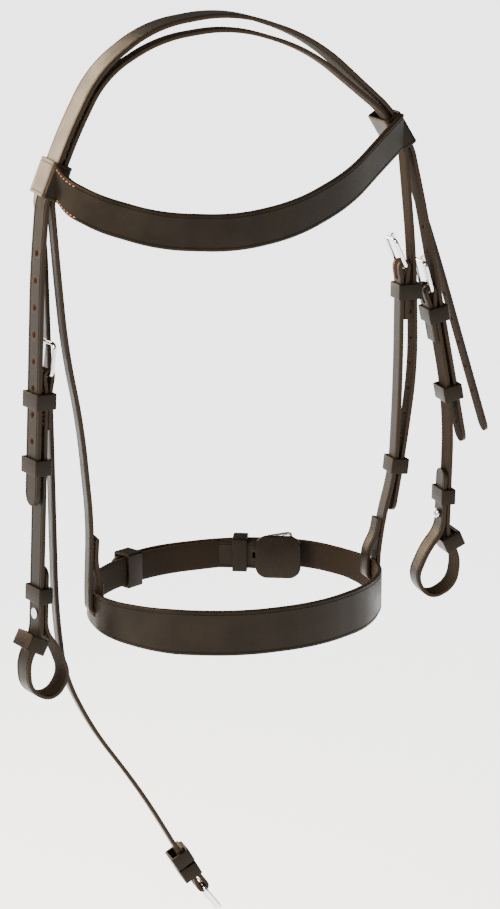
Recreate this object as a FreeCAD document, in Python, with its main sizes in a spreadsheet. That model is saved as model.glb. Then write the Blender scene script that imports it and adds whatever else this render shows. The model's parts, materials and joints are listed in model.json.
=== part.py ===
import FreeCAD, Part
import Sketcher
import math
import os
from FreeCAD import Placement, Rotation, Vector

# A cavesson headstall: a leather headpiece over the poll, a browband, two cheekpieces with
# hook-stud bit loops, a throatlatch, and a noseband hung on its own sliphead.
# Millimetres. +X is the horse's left (near) side, -Y is the front, +Z is up. The origin is
# under the sliphead at the poll, on the plane midway between the two sides.

SIZES = [
    # leather
    ("strap_thickness", 3.0),
    ("band_thickness", 3.5),
    ("loop_thickness", 2.2),
    ("cheek_width", 16.0),
    ("sliphead_width", 12.5),
    ("throat_width", 12.0),
    ("crown_width", 28.5),
    ("browband_width", 25.0),
    ("noseband_front_width", 32.0),
    ("noseband_rear_width", 21.0),
    ("chape_length", 38.0),
    ("billet_hole_pitch", 18.5),
    ("billet_hole_diameter", 4.0),
    # shape of the headstall
    ("crown_rise", 112.0),
    ("sliphead_gap_at_loops", 1.45),
    ("sliphead_gap_at_poll", 6.8),
    ("browband_droop", 38.0),
    ("browband_depth", 55.0),
    ("noseband_half_width", 105.5),
    ("noseband_half_depth", 87.0),
    ("noseband_drop", 400.0),
    ("cheek_length", 236.0),
    ("off_toe_in", 14.0),
    ("near_toe_in", 2.0),
    # buckles and keepers
    ("buckle_wire", 2.6),
    ("buckle_length", 22.0),
    ("buckle_bend", 3.2),
    ("buckle_side_gap", 1.6),
    ("tongue_width", 3.0),
    ("tongue_thickness", 2.0),
    ("keeper_thickness", 2.0),
    ("keeper_width", 11.0),
    ("wide_keeper_width", 14.0),
    ("stud_radius", 2.0),
    ("stud_head_radius", 3.8),
    ("button_radius", 8.5),
    ("safe_pad_length", 34.0),
    ("safe_pad_height", 33.0),
    # clearances
    ("running_gap", 0.4),
    ("keeper_gap", 0.5),
    ("loop_gap", 0.9),
    ("slot_gap", 0.7),
    ("swing_gap", 1.6),
]

doc = FreeCAD.newDocument("Headstall")


def build_sheet():
    """The driving dimensions, one row each: its name, its value in millimetres or degrees."""
    sheet = doc.addObject("Spreadsheet::Sheet", "Sizes")
    for row, (name, value) in enumerate(SIZES, start=1):
        sheet.set(f"A{row}", name)
        sheet.set(f"B{row}", str(value))
        sheet.setAlias(f"B{row}", name)
    doc.recompute()
    return sheet


SHEET = build_sheet()


def size(name):
    return float(SHEET.get(name))


NODES = []


def new_body(label):
    body = doc.addObject("PartDesign::Body", label)
    body.Label = label
    NODES.append(body)
    return body


def origin_plane(body, role):
    for feature in body.Origin.OriginFeatures:
        if feature.Role == role:
            return feature
    raise ValueError(role)


def new_sketch(body, role, geometry, offset=0.0):
    """A sketch on one of the body's own planes, moved along the plane's normal by offset."""
    number = sum(1 for item in body.Group if item.isDerivedFrom("Sketcher::SketchObject")) + 1
    sketch = body.newObject("Sketcher::SketchObject", f"{body.Name}_sketch{number}")
    sketch.AttachmentSupport = [(origin_plane(body, role), "")]
    sketch.MapMode = "FlatFace"
    sketch.AttachmentOffset = Placement(Vector(0, 0, offset), Rotation())
    for item in geometry:
        sketch.addGeometry(item, False)
    return sketch


def pad(body, sketch, length):
    """A pad that is centred on its sketch; length is an expression on the sheet."""
    feature = body.newObject("PartDesign::Pad", f"{sketch.Name}_pad")
    feature.Profile = sketch
    feature.SideType = "Symmetric"
    feature.setExpression("Length", length)
    sketch.Visibility = False
    doc.recompute()
    return feature


RIGHT_THROUGH = 2000


def pocket(body, sketch, length=RIGHT_THROUGH):
    """A cut centred on its sketch, right through unless length is given. It has to cut."""
    before = body.Shape.Volume
    feature = body.newObject("PartDesign::Pocket", f"{sketch.Name}_pocket")
    feature.Profile = sketch
    feature.SideType = "Symmetric"
    feature.Length = length
    doc.recompute()
    if body.Shape.Volume >= before - 0.1:
        raise ValueError(f"{feature.Name} cuts nothing")
    return feature


def fillet(body, chosen, radius):
    """Rounds the edges of the body's tip that chosen(edge) picks."""
    base = body.Tip
    names = [f"Edge{n}" for n, edge in enumerate(base.Shape.Edges, start=1) if chosen(edge)]
    feature = body.newObject("PartDesign::Fillet", f"{body.Name}_fillet")
    feature.Base = (base, names)
    feature.Radius = radius
    doc.recompute()
    return feature


# ---- outlines: every strap is a run of straight lines and tangent arcs with a thickness


def runs_and_arcs(corners, share=0.45):
    """The path through corners, rounded at each one, as (kind, ...) pieces in order."""
    points = [Vector(x, y, 0) for x, y in corners]
    pieces = []
    start = points[0]
    for before, corner, after in zip(points, points[1:], points[2:]):
        arriving = (corner - before).normalize()
        leaving = (after - corner).normalize()
        turn = arriving.getAngle(leaving)
        if turn < 1e-4:
            continue
        reach = share * min((corner - before).Length, (after - corner).Length)
        radius = reach / math.tan(turn / 2)
        side = math.copysign(1.0, arriving.x * leaving.y - arriving.y * leaving.x)
        first = corner - arriving * reach
        last = corner + leaving * reach
        centre = first + Vector(-arriving.y, arriving.x, 0) * radius * side
        pieces.append(("run", start, first))
        pieces.append(("arc", centre, radius, side, first, last))
        start = last
    pieces.append(("run", start, points[-1]))
    return pieces


def arc_edge(centre, radius, first, last, side):
    """An arc from first to last about centre; side is +1 when it turns to the left."""
    begin = math.atan2(first.y - centre.y, first.x - centre.x)
    end = math.atan2(last.y - centre.y, last.x - centre.x)
    if side < 0:
        begin, end = end, begin
    if end <= begin:
        end += 2 * math.pi
    return Part.ArcOfCircle(Part.Circle(centre, Vector(0, 0, 1), radius), begin, end)


def edge_of_strap(pieces, distance):
    """The path's pieces moved to its left by distance, as sketch geometry with end points."""
    edges = []
    for piece in pieces:
        if piece[0] == "run":
            _, start, end = piece
            across = (end - start).normalize()
            shift = Vector(-across.y, across.x, 0) * distance
            edges.append(Part.LineSegment(start + shift, end + shift))
        else:
            _, centre, radius, side, first, last = piece
            scale = (radius - side * distance) / radius
            a = centre + (first - centre) * scale
            b = centre + (last - centre) * scale
            edges.append(arc_edge(centre, radius * scale, a, b, side))
    return edges


def strap_outline(corners, thickness, round_start=False, share=0.45):
    """The closed outline of a strap seen edge-on, with a square or a rounded first end."""
    pieces = runs_and_arcs(corners, share)
    half = thickness / 2
    left = edge_of_strap(pieces, half)
    right = edge_of_strap(pieces, -half)
    ends = []
    for line, other, first_end in ((left[0], right[0], True), (left[-1], right[-1], False)):
        a = line.StartPoint if first_end else line.EndPoint
        b = other.StartPoint if first_end else other.EndPoint
        if first_end and round_start:
            ends.append(arc_edge((a + b) / 2, half, a, b, 1))
        else:
            ends.append(Part.LineSegment(a, b))
    return left + right + ends


def beside(corners, distances):
    """The same path moved to its left by a distance at each corner, with mitred corners."""
    points = [Vector(x, y, 0) for x, y in corners]
    moved = []
    for n, (point, distance) in enumerate(zip(points, distances)):
        before = points[max(n - 1, 0)]
        after = points[min(n + 1, len(points) - 1)]
        arriving = (point - before if n else after - point).normalize()
        leaving = (after - point if n < len(points) - 1 else point - before).normalize()
        normal = Vector(-arriving.y - leaving.y, arriving.x + leaving.x, 0).normalize()
        mitre = normal.dot(Vector(-arriving.y, arriving.x, 0))
        moved.append(point + normal * (distance / mitre))
    return [(p.x, p.y) for p in moved]


def back_from(end, before, distance):
    """The point of the run from before to end that lies distance short of its end."""
    last = Vector(*end, 0)
    along = (Vector(*before, 0) - last).normalize()
    point = last + along * distance
    return point.x, point.y


def polygon(corners):
    points = [Vector(x, y, 0) for x, y in corners]
    return [Part.LineSegment(a, b) for a, b in zip(points, points[1:] + points[:1])]


def rectangle(x0, y0, x1, y1):
    return polygon([(x0, y0), (x1, y0), (x1, y1), (x0, y1)])


def circle(x, y, radius):
    return [Part.Circle(Vector(x, y, 0), Vector(0, 0, 1), radius)]


def strap(body, corners, thickness, width, across=0.0, role="XZ_Plane", round_start=False):
    """A strap of the body, whose path lies in a plane and whose width stands across it."""
    offset = -across if role == "XZ_Plane" else across
    outline = strap_outline(corners, thickness, round_start)
    return pad(body, new_sketch(body, role, outline, offset), width)


def round_holes(body, centres, diameter, role="YZ_Plane"):
    """Punched holes through a strap that hangs in the XZ plane, at (y, z) centres."""
    geometry = []
    for y, z in centres:
        geometry += circle(y, z, diameter / 2)
    return pocket(body, new_sketch(body, role, geometry))


def rounded_tip(body, corner, width):
    """Rounds the two corners of a billet's end, which lies at corner (x, y, z)."""
    end = Vector(*corner)
    reach = width / 2 + 3

    def at_the_tip(edge):
        short = abs(edge.Length - size("strap_thickness")) < 0.05
        near = (edge.CenterOfMass - end).Length < reach
        straight = edge.Curve.TypeId == "Part::GeomLine"
        return short and near and straight and abs(edge.tangentAt(edge.FirstParameter).y) < 0.01

    return fillet(body, at_the_tip, 0.36 * width)


# ---- parts that every buckled strap has. Their own frame has the buckle's bar at the origin,
# ---- +X out of the strap's face, Y across the strap and the strap hanging down along -Z


def bar_radius():
    return size("buckle_wire") / 2


def chape_radius(thickness):
    """The outside of the fold that holds the buckle's bar."""
    return bar_radius() + size("running_gap") + thickness


def chape_outline(thickness, length):
    """The strap's end turned back round the bar, and the eye that the bar lies in."""
    head = chape_radius(thickness)
    taper = -2.2 * head
    fold = [
        (head, 0.0), (thickness, taper), (thickness, -length),
        (-thickness, -length), (-thickness, taper), (-head, 0.0),
    ]
    points = [Vector(x, z, 0) for x, z in fold]
    sides = [Part.LineSegment(a, b) for a, b in zip(points, points[1:])]
    top = arc_edge(Vector(0, 0, 0), head, points[0], points[-1], 1)
    eye = circle(0, 0, bar_radius() + size("running_gap"))
    return sides + [top] + eye


def add_chape(body, thickness, width, role="XZ_Plane", place=None):
    """A turned-back end at place on the body's plane, with a slot for the tongue."""
    place = place or Placement()
    head = chape_radius(thickness)
    eye_sketch = new_sketch(body, role, chape_outline(thickness, size("chape_length")))
    eye_sketch.AttachmentOffset = place
    pad(body, eye_sketch, width)
    slot_sketch = new_sketch(body, role, rectangle(-head - 1, -2 * head, head + 0.2, head + 1))
    slot_sketch.AttachmentOffset = place
    slot = body.newObject("PartDesign::Pocket", f"{body.Name}_tongue_slot")
    slot.Profile = slot_sketch
    slot.SideType = "Symmetric"
    slot.setExpression("Length", "Sizes.tongue_width + 1.5")
    doc.recompute()


def tie_to_wire(sketch):
    """A radius constraint on the first circle of a sketch, tied to the buckle's wire."""
    number = sketch.addConstraint(Sketcher.Constraint("Radius", 0, bar_radius()))
    sketch.setExpression(f"Constraints[{number}]", "Sizes.buckle_wire / 2")


def buckle_frame(label, strap_width, placement):
    """A bent wire frame with round corners; the bar that the tongue turns on is at z = 0."""
    body = new_body(label)
    half = size(strap_width) / 2 + size("buckle_side_gap") + bar_radius()
    length = size("buckle_length")
    bend = size("buckle_bend")
    corners = [(half, 0), (half, length), (-half, length), (-half, 0)]
    centres = [(half - bend, bend), (half - bend, length - bend),
               (bend - half, length - bend), (bend - half, bend)]
    wire = []
    here = Vector(0, 0, 0)
    for (x, y), (cx, cy) in zip(corners, centres):
        centre = Vector(cx, cy, 0)
        corner = Vector(x, y, 0)
        first = Vector(corner.x, centre.y, 0)
        last = Vector(centre.x, corner.y, 0)
        if (first - here).Length > (last - here).Length:
            first, last = last, first
        wire.append(Part.LineSegment(here, first))
        wire.append(arc_edge(centre, bend, first, last, 1))
        here = last
    wire.append(Part.LineSegment(here, Vector(0, 0, 0)))
    spine = new_sketch(body, "YZ_Plane", wire)
    section = new_sketch(body, "XZ_Plane", circle(0, 0, bar_radius()))
    tie_to_wire(section)
    pipe = body.newObject("PartDesign::AdditivePipe", f"{label}_wire")
    pipe.Profile = section
    pipe.Spine = (spine, [])
    doc.recompute()
    body.Placement = placement
    return body


def buckle_tongue(label, placement):
    """A ring round the bar and a flat shank that rests on the outside of the far bar."""
    body = new_body(label)
    inner = bar_radius() + size("running_gap") * 0.75
    outer = inner + 1.1
    ring = circle(0, 0, outer) + circle(0, 0, inner)
    pad(body, new_sketch(body, "XZ_Plane", ring), "Sizes.tongue_width")
    rest = bar_radius() + 0.35 + size("tongue_thickness") / 2
    root = inner + size("tongue_thickness") / 2
    tip = size("buckle_length") + bar_radius() + 1.2
    shank = strap_outline([(root, 0.0), (rest, tip)], size("tongue_thickness"))
    pad(body, new_sketch(body, "XZ_Plane", shank), "Sizes.tongue_width")
    body.Placement = placement
    return body


def keeper(label, inner, outer, strap_width, width, placement, side_gap=None):
    """A leather loop round a stack of straps that lies from x = inner to x = outer."""
    body = new_body(label)
    gap = size("keeper_gap") if side_gap is None else side_gap
    half = size(strap_width) / 2 + size("keeper_gap")
    wall = size("keeper_thickness")
    low = inner - gap
    high = outer + size("keeper_gap")
    opening = rectangle(low, -half, high, half)
    outside = rectangle(low - wall, -half - wall, high + wall, half + wall)
    pad(body, new_sketch(body, "XY_Plane", outside + opening), width)
    reach = Vector(high - low + 2 * wall, 2 * (half + wall), 0).Length / 2 - 0.2
    middle = (low + high) / 2

    def outside_corner(edge):
        place = edge.CenterOfMass
        upright = abs(edge.tangentAt(edge.FirstParameter).z) > 0.99
        return upright and Vector(place.x - middle, place.y, 0).Length > reach

    fillet(body, outside_corner, 0.75 * wall)
    body.Placement = placement
    return body


def hook_stud(label, thickness, placement):
    """A turned stud: a flat rivet head outside, a shank, and a domed head on the inside."""
    body = new_body(label)
    head = size("stud_head_radius")
    shank = size("stud_radius")
    flat = 0.8
    inner = -2 * thickness - 2 * size("running_gap") - 0.6
    profile = [
        Part.LineSegment(Vector(thickness + flat, 0, 0), Vector(thickness + flat, head, 0)),
        Part.LineSegment(Vector(thickness + flat, head, 0), Vector(thickness, head, 0)),
        Part.LineSegment(Vector(thickness, head, 0), Vector(thickness, shank, 0)),
        Part.LineSegment(Vector(thickness, shank, 0), Vector(inner + thickness, shank, 0)),
        Part.LineSegment(Vector(inner + thickness, shank, 0), Vector(inner + thickness, head, 0)),
        Part.LineSegment(Vector(inner + thickness, head, 0), Vector(inner + thickness - 0.7, head, 0)),
    ]
    rim = Vector(inner + thickness - 0.7, head, 0)
    crown = Vector(inner + thickness - 3.0, 0.8, 0)
    bulge = Vector(inner + thickness - 2.2, head * 0.66, 0)
    middle = Vector(crown.x, 0, 0)
    profile.append(Part.Arc(rim, bulge, crown))
    profile.append(Part.LineSegment(crown, middle))
    profile.append(Part.LineSegment(middle, Vector(thickness + flat, 0, 0)))
    sketch = new_sketch(body, "XZ_Plane", profile)
    turned = body.newObject("PartDesign::Revolution", f"{label}_turned")
    turned.Profile = sketch
    turned.ReferenceAxis = (sketch, ["H_Axis"])
    turned.Angle = 360
    doc.recompute()
    body.Placement = placement
    return body


# ---- the headpiece: crownpiece, sliphead and the noseband's near cheek

HEAD_CROWN = [(-133, -111), (-114, -65), (-93, -25), (-54, 3), (2, 11), (61, -9),
              (117, -59), (135, -88)]
DRAWN_RISE = 112.0
CROWN_TOP = 8.25
# how much of the gap at the poll the sliphead has below each corner of the crown
SLIPHEAD_SLACK = [0.0, 0.0, 0.03, 0.86, 1.0, 0.7, 0.08, 0.0]
THROAT_Y = (size("crown_width") - size("throat_width")) / 2
CHEEK_Y = (size("cheek_width") - size("crown_width")) / 2
SLIPHEAD_Y = (size("sliphead_width") - size("crown_width")) / 2


def scaled_crown():
    """The crown's path, whose height follows the crown_rise dimension."""
    scale = size("crown_rise") / DRAWN_RISE
    return [(x, CROWN_TOP + (z - CROWN_TOP) * scale) for x, z in HEAD_CROWN]


def swing_gap_end(corners, gap):
    """The path shortened by gap at both ends, which leaves room for the billets to swing."""
    first = Vector(*corners[0], 0)
    second = Vector(*corners[1], 0)
    last = Vector(*corners[-1], 0)
    before = Vector(*corners[-2], 0)
    a = first + (second - first).normalize() * gap
    b = last + (before - last).normalize() * gap
    return [(a.x, a.y)] + corners[1:-1] + [(b.x, b.y)]


def crownpiece():
    body = new_body("crownpiece")
    gap = size("strap_thickness") / 2 + size("swing_gap")
    path = swing_gap_end(scaled_crown(), gap)
    strap(body, path, size("strap_thickness"), "Sizes.crown_width")
    return body


def noseband_centre():
    return Vector(3.5, SLIPHEAD_Y, -size("noseband_drop"))


# how far below the noseband's middle a hanging strap passes through it
STRAP_TURN = 1.0


def hanging_loop(side):
    """The turn of a hanging strap through the noseband's slot, from outside to inside."""
    centre = noseband_centre()
    wall = centre.x + side * size("noseband_half_width")
    out = (size("band_thickness") + size("strap_thickness")) / 2 + size("slot_gap")
    top = centre.z + 16
    bottom = centre.z - STRAP_TURN
    outside = wall + side * out
    inside = wall - side * out
    return outside, inside, top, bottom


def sliphead_path():
    """Under the crown, down the off side and through the noseband; the near end is a billet."""
    crown = scaled_crown()
    tight = size("strap_thickness") + size("sliphead_gap_at_loops")
    slack = size("sliphead_gap_at_poll") - size("sliphead_gap_at_loops")
    under = beside(crown, [-(tight + slack * share) for share in SLIPHEAD_SLACK])
    below_loop = 3.4
    held = 8.0
    off_turn = back_from(under[0], under[1], below_loop)
    off_held = back_from(under[0], under[1], below_loop + held)
    near_turn = back_from(under[-1], under[-2], below_loop)
    near_held = back_from(under[-1], under[-2], below_loop + held)
    outside, inside, top, bottom = hanging_loop(-1)
    drop = off_turn[1] - top
    off_leg = [(inside, top), (inside, bottom), (outside, bottom), (outside, top)]
    leg_shape = [(2.0, 0.17), (-4.0, 0.43), (-14.0, 0.63), (-18.5, 0.83)]
    off_leg += [(outside + across, top + drop * share) for across, share in leg_shape]
    near_billet = [(138, -168), (140, -246), (132.5, -303), (124.5, -352)]
    return off_leg + [off_turn, off_held] + under[1:-1] + [near_held, near_turn] + near_billet


def sliphead_strap():
    body = new_body("sliphead_strap")
    thickness = size("strap_thickness")
    strap(body, sliphead_path(), thickness, "Sizes.sliphead_width", SLIPHEAD_Y)
    outside, inside, top, _ = hanging_loop(-1)
    folded = thickness + 0.3
    tail = [(inside, top - 0.5), (inside, top + 4), (outside + 1.0 + folded, top + 18),
            (outside + 2.2 + folded, top + 36)]
    strap(body, tail, thickness, "Sizes.sliphead_width", SLIPHEAD_Y)
    pitch = size("billet_hole_pitch")
    holes = [(SLIPHEAD_Y, -150 - pitch * n) for n in range(10)]
    geometry = [circle(y, z, size("billet_hole_diameter") / 2)[0] for y, z in holes]
    billet_side = 135
    pocket(body, new_sketch(body, "YZ_Plane", geometry, billet_side), 40)
    rounded_tip(body, (124.5, SLIPHEAD_Y, -352), size("sliphead_width"))
    return body


HANGER_BAR = Vector(130.0, SLIPHEAD_Y, -172.0)


def hanger_place(height, lean=0.0):
    """A place on the near hanger's own line, given by its height above the buckle's bar."""
    return Placement(HANGER_BAR + Vector(0, 0, height), Rotation(Vector(0, 1, 0), lean))


def leaning(degrees):
    """A buckle's turn about its own bar; it leans inward from the strap's line."""
    return Placement(Vector(0, 0, 0), Rotation(Vector(0, 1, 0), -degrees))


def near_hanger():
    thickness = size("strap_thickness")
    width = "Sizes.sliphead_width"
    body = new_body("near_hanger_strap")
    add_chape(body, thickness, width)
    outside, inside, top, bottom = hanging_loop(1)
    drop = HANGER_BAR.z - top
    path = [(-thickness / 2, -6.0), (-thickness / 2, -0.38 * drop), (-4.0, -0.70 * drop)]
    end = [(outside + 3.5, top + 26), (outside, top), (outside, bottom), (inside, bottom),
           (inside, top)]
    path += [(x - HANGER_BAR.x, z - HANGER_BAR.z) for x, z in end]
    strap(body, path, thickness, width)
    folded = thickness + 0.3
    tail = [(inside, top - 0.5), (inside, top + 4), (outside + 2.0 - folded, top + 16),
            (outside + 3.8 - folded, top + 27)]
    strap(body, [(x - HANGER_BAR.x, z - HANGER_BAR.z) for x, z in tail], thickness, width)
    body.Placement = hanger_place(0)
    lean = leaning(24)
    buckle_frame("near_hanger_buckle_frame", "sliphead_width", hanger_place(0).multiply(lean))
    buckle_tongue("near_hanger_buckle_tongue", hanger_place(0).multiply(lean))
    keeper("near_hanger_fixed_keeper", -thickness, 10.4, "sliphead_width",
           "Sizes.keeper_width", hanger_place(-18), 0.0)
    keeper("near_hanger_sliding_keeper", -6.2, 2.2, "sliphead_width",
           "Sizes.keeper_width", hanger_place(-146, 6))


# ---- the two cheekpieces


OFF_BAR = (-1.7, -117.0)
NEAR_BAR = (15.5, -103.0)


def hinge_point(side):
    """The end of the crown, where one cheekpiece's billet flexes."""
    crown = scaled_crown()
    return Vector(*(crown[0] if side == "off" else crown[-1]), 0)


def side_place(side):
    """The frame of one cheekpiece: its bar, its toe-in and the way it leans outward."""
    toe = size(f"{side}_toe_in")
    hinge = hinge_point(side)
    if side == "off":
        bar = hinge + Vector(*OFF_BAR, 0)
        turn = Rotation(Vector(0, 0, 1), 180 + toe)
        lean = Rotation(Vector(0, 1, 0), -2.8)
    else:
        bar = hinge + Vector(*NEAR_BAR, 0)
        turn = Rotation(Vector(0, 0, 1), -toe)
        lean = Rotation(Vector(0, 1, 0), -11.4)
    forward = abs(bar.x - hinge.x) * math.tan(math.radians(toe))
    return Placement(Vector(bar.x, CHEEK_Y - forward, bar.y), turn.multiply(lean))


def billet_layer():
    """How far the billet's middle lies outside the buckle's bar."""
    thickness = size("strap_thickness")
    return chape_radius(thickness) + size("running_gap") + thickness / 2


def bent(point, pivot, degrees):
    """A point of the lower cheek turned about pivot, for a cheekpiece that bends."""
    a = math.radians(degrees)
    x = point[0] - pivot[0]
    z = point[1] - pivot[1]
    return (pivot[0] + x * math.cos(a) - z * math.sin(a),
            pivot[1] + x * math.sin(a) + z * math.cos(a))


def cheek_path(side):
    """Down the cheek, round the bit loop and back up the inside to the hook stud."""
    bend = 0.0 if side == "off" else -12.5
    foot = -size("cheek_length")
    pivot = (1.5, -90.0)
    straight = [(1.5, -6.0), pivot]
    loop = [(1.5, foot + 50), (11.5, foot + 33), (9.0, foot + 11), (-10, foot + 2),
            (-22.5, foot + 18), (-13, foot + 40), (-1.95, foot + 54), (-1.95, foot + 100)]
    if bend == 0.0:
        straight = [straight[0]]
    return straight + [bent(point, pivot, bend) for point in loop], pivot, bend


def on_cheek(side, point, lean=0.0):
    """A placement on the lower cheek, which follows the cheek's bend."""
    _, pivot, bend = cheek_path(side)
    x, z = bent(point, pivot, bend)
    here = Placement(Vector(x, 0, z), Rotation(Vector(0, 1, 0), -bend + lean))
    return side_place(side).multiply(here)


def cheek_strap(side):
    thickness = size("strap_thickness")
    body = new_body(f"{side}_cheek_strap")
    add_chape(body, thickness, "Sizes.cheek_width")
    path, pivot, bend = cheek_path(side)
    strap(body, path, thickness, "Sizes.cheek_width")
    foot = -size("cheek_length")
    stud_x, stud_z = bent((0, foot + 66), pivot, bend)
    hole = new_sketch(body, "YZ_Plane", circle(0, 0, size("stud_radius") + 0.1))
    hole.AttachmentOffset = Placement(Vector(0, stud_z, stud_x), Rotation(Vector(1, 0, 0), -bend))
    pocket(body, hole, 20)
    body.Placement = side_place(side)
    return body


def cheek_billet(side):
    """The split end of the headpiece that carries the cheekpiece, with its punched holes."""
    body = new_body(f"{side}_cheek_billet")
    place = side_place(side)
    top = hinge_point(side)
    hinge = place.inverse().multVec(Vector(top.x, CHEEK_Y, top.y))
    layer = billet_layer()
    tip = -92.0 if side == "off" else -118.0
    path = [(hinge.x, hinge.z), (layer, -2.0 + 0.62 * hinge.z), (layer, tip)]
    strap(body, path, size("strap_thickness"), "Sizes.cheek_width", 0.0, "XZ_Plane", True)
    pitch = size("billet_hole_pitch")
    first = 5 if side == "off" else 3
    holes = [(0.0, 9.0 + pitch * (first - 1 - n)) for n in range(first + 4)]
    holes = [(y, z) for y, z in holes if z > tip + 14]
    round_holes(body, holes, size("billet_hole_diameter"))
    rounded_tip(body, (layer, 0, tip), size("cheek_width"))
    body.Placement = place
    return body


def cheekpiece(side):
    thickness = size("strap_thickness")
    layer = billet_layer()
    outer = layer + thickness / 2
    place = side_place(side)
    cheek_billet(side)
    cheek_strap(side)
    lean = leaning(5 if side == "off" else 4)
    buckle_frame(f"{side}_cheek_buckle_frame", "cheek_width", place.multiply(lean))
    buckle_tongue(f"{side}_cheek_buckle_tongue", place.multiply(lean))
    keeper(f"{side}_cheek_fixed_keeper", -thickness, outer, "cheek_width", "Sizes.keeper_width",
           place.multiply(Placement(Vector(0, 0, -18), Rotation())), 0.0)
    slid = -64 if side == "off" else -78
    strap_back = 0.0 if side == "off" else -1.7
    keeper(f"{side}_cheek_sliding_keeper", strap_back, outer, "cheek_width", "Sizes.keeper_width",
           place.multiply(Placement(Vector(0, 0, slid), Rotation())))
    foot = -size("cheek_length")
    return_layer = -thickness - size("running_gap") - 0.05
    keeper(f"{side}_bit_upper_keeper", return_layer, thickness, "cheek_width",
           "Sizes.keeper_width", on_cheek(side, (0, foot + 80)), 0.1)
    keeper(f"{side}_bit_lower_keeper", -9.5, thickness / 2, "cheek_width",
           "Sizes.keeper_width", on_cheek(side, (9.0, foot + 47), -26.0), 0.1)
    hook_stud(f"{side}_hook_stud", thickness, on_cheek(side, (0, foot + 66)))


# ---- browband


BELOW_LOOP = 2.0
# the band in plan: the share of the way across, and the share of its depth in front
BROWBAND_PLAN = [(0.0, 0.0), (0.015, 0.22), (0.08, 0.5), (0.22, 0.86), (0.42, 1.05),
                 (0.60, 0.98), (0.78, 0.68), (0.92, 0.24), (1.0, 0.0)]


def headpiece_stack():
    """The thickness of crownpiece and sliphead together where the loops hold them."""
    return 2 * size("strap_thickness") + size("sliphead_gap_at_loops")


def browband_loops():
    """Each loop's centre in the XZ plane and its tilt, which follow the headpiece."""
    crown = scaled_crown()
    loops = []
    for side, low, high in ((-1, crown[0], crown[1]), (1, crown[-1], crown[-2])):
        along = (Vector(*high, 0) - Vector(*low, 0)).normalize()
        reach = size("browband_width") / 2 + size("swing_gap") + BELOW_LOOP
        inward = Vector(-side * along.y, side * along.x, 0)
        inset = headpiece_stack() / 2 - size("strap_thickness") / 2
        centre = Vector(*low, 0) + along * reach + inward * inset
        tilt = math.degrees(math.atan2(along.x, along.y))
        loops.append((centre, tilt))
    return loops


def browband(loops):
    """A flat band across the forehead, with a stitched loop at each end round the headpiece."""
    body = new_body("browband")
    thickness = size("band_thickness")
    wall = size("loop_thickness")
    (off, _), (near, _) = loops
    half_x = headpiece_stack() / 2 + size("loop_gap")
    half_y = size("crown_width") / 2 + size("loop_gap")
    back = -(half_y + wall / 2)
    depth = size("browband_depth")
    path = [(off.x + (near.x - off.x) * across, back - depth * ahead)
            for across, ahead in BROWBAND_PLAN]
    middle = (off.x + near.x) / 2
    level = (off.y + near.y) / 2
    strip = new_sketch(body, "XY_Plane", strap_outline(path, thickness), level)
    pad(body, strip, "Sizes.browband_width * 2 + Sizes.browband_droop * 3")
    roll = math.degrees(math.atan2(near.y - off.y, near.x - off.x))
    slope = size("browband_droop") / depth
    half_band = size("browband_width") / 2
    behind = back + 30
    ahead = back - 2 * depth
    far = 400
    for sign in (1, -1):
        edge = [(y, sign * half_band + slope * (y - back)) for y in (behind, ahead)]
        waste = [(ahead, sign * far), (behind, sign * far)]
        trim = new_sketch(body, "YZ_Plane", polygon(edge + waste))
        trim.AttachmentOffset = Placement(Vector(0, level, middle), Rotation(Vector(1, 0, 0), roll))
        pocket(body, trim)
    for centre, tilt in loops:
        outside = rectangle(-half_x - wall, -half_y - wall, half_x + wall, half_y + wall)
        inside = rectangle(-half_x, -half_y, half_x, half_y)
        ring = new_sketch(body, "XY_Plane", outside + inside)
        ring.AttachmentOffset = Placement(Vector(centre.x, 0, centre.y),
                                          Rotation(Vector(0, 1, 0), tilt))
        pad(body, ring, "Sizes.browband_width")
    reach = Vector(half_x + wall, half_y + wall, 0).Length - 0.2

    def back_corner(edge):
        place = edge.CenterOfMass
        upright = edge.Length > size("browband_width") - 0.5
        for centre, _ in loops:
            away = Vector(place.x - centre.x, place.y, 0).Length
            if upright and reach < away < 2 * reach and place.y > half_y:
                return True
        return False

    fillet(body, back_corner, 0.9 * wall)


def browband_button(loops):
    """A plain domed button riveted to the outside of the near loop."""
    body = new_body("browband_button")
    centre, tilt = loops[1]
    radius = size("button_radius")
    face = headpiece_stack() / 2 + size("loop_gap") + size("loop_thickness")
    rim = 1.2
    rise = 3.4
    edge = Vector(face + rim, radius, 0)
    crown = Vector(face + rise, 1.0, 0)
    bulge = Vector(face + rim + 0.72 * (rise - rim), radius * 0.62, 0)
    middle = Vector(crown.x, 0, 0)
    profile = [
        Part.LineSegment(Vector(face, 0, 0), Vector(face, radius, 0)),
        Part.LineSegment(Vector(face, radius, 0), edge),
        Part.Arc(edge, bulge, crown),
        Part.LineSegment(crown, middle),
        Part.LineSegment(middle, Vector(face, 0, 0)),
    ]
    sketch = new_sketch(body, "XZ_Plane", profile)
    turned = body.newObject("PartDesign::Revolution", "button_turned")
    turned.Profile = sketch
    turned.ReferenceAxis = (sketch, ["H_Axis"])
    turned.Angle = 360
    doc.recompute()
    body.Placement = Placement(Vector(centre.x, 0, centre.y), Rotation(Vector(0, 1, 0), tilt))
    return body


# ---- throatlatch


def throat_route():
    """Down the off side, under the jaw and up to the buckle; its path lies in one plane."""
    top = scaled_crown()[0]
    return [(top[0] + 0.6, top[1]), (-128.5, -142), (-127, -250), (-126, -400), (-121, -452),
            (-101, -495), (-64, -550), (-18, -631)]


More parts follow.
